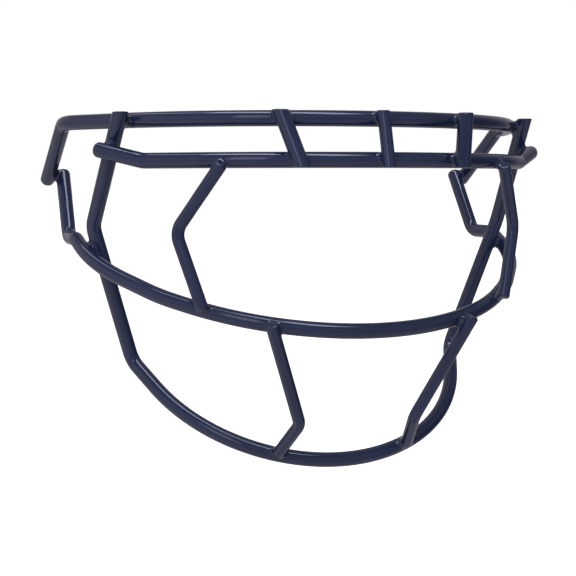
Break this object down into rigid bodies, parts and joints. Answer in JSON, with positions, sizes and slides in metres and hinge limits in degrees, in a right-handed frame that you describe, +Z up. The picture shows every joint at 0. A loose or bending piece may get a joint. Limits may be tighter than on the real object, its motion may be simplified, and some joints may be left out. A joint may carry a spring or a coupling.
{
  "type": "helmet face guard",
  "caption": "Open wire face guard for an american football helmet: brow, eye, jaw and chin bars with uprights and struts, welded and coated.",
  "frame": {"origin": "middle of the guard's bounding box, on its plane of symmetry", "axes": "+Z up, -Y out of the open front of the helmet, +X to the wearer's left; the brow bar's front lies level"},
  "size_m": [0.2286, 0.1488, 0.1546],
  "materials": {
    "coat": "glossy baked coating, fine orange peel",
    "weld_coat": "the same coating, pooled over the weld"
  },
  "bodies": {
    "root": {"brow_bar": "coat", "second_bar": "coat", "jaw_bar": "coat", "chin_bar": "coat", "cheek_bar_left": "coat", "cheek_bar_right": "coat", "mouth_bar_left": "coat", "mouth_bar_right": "coat", "strut_left": "coat", "strut_centre": "coat", "strut_right": "coat", "brow_strut_welds": "weld_coat", "second_strut_welds": "weld_coat", "brow_upright_welds": "weld_coat", "second_upright_welds": "weld_coat", "jaw_upright_welds": "weld_coat", "cheek_top_welds": "weld_coat", "cheek_bottom_welds": "weld_coat", "mouth_top_welds": "weld_coat", "mouth_bottom_welds": "weld_coat", "side_loop_welds": "weld_coat"}
  },
  "joints": []
}
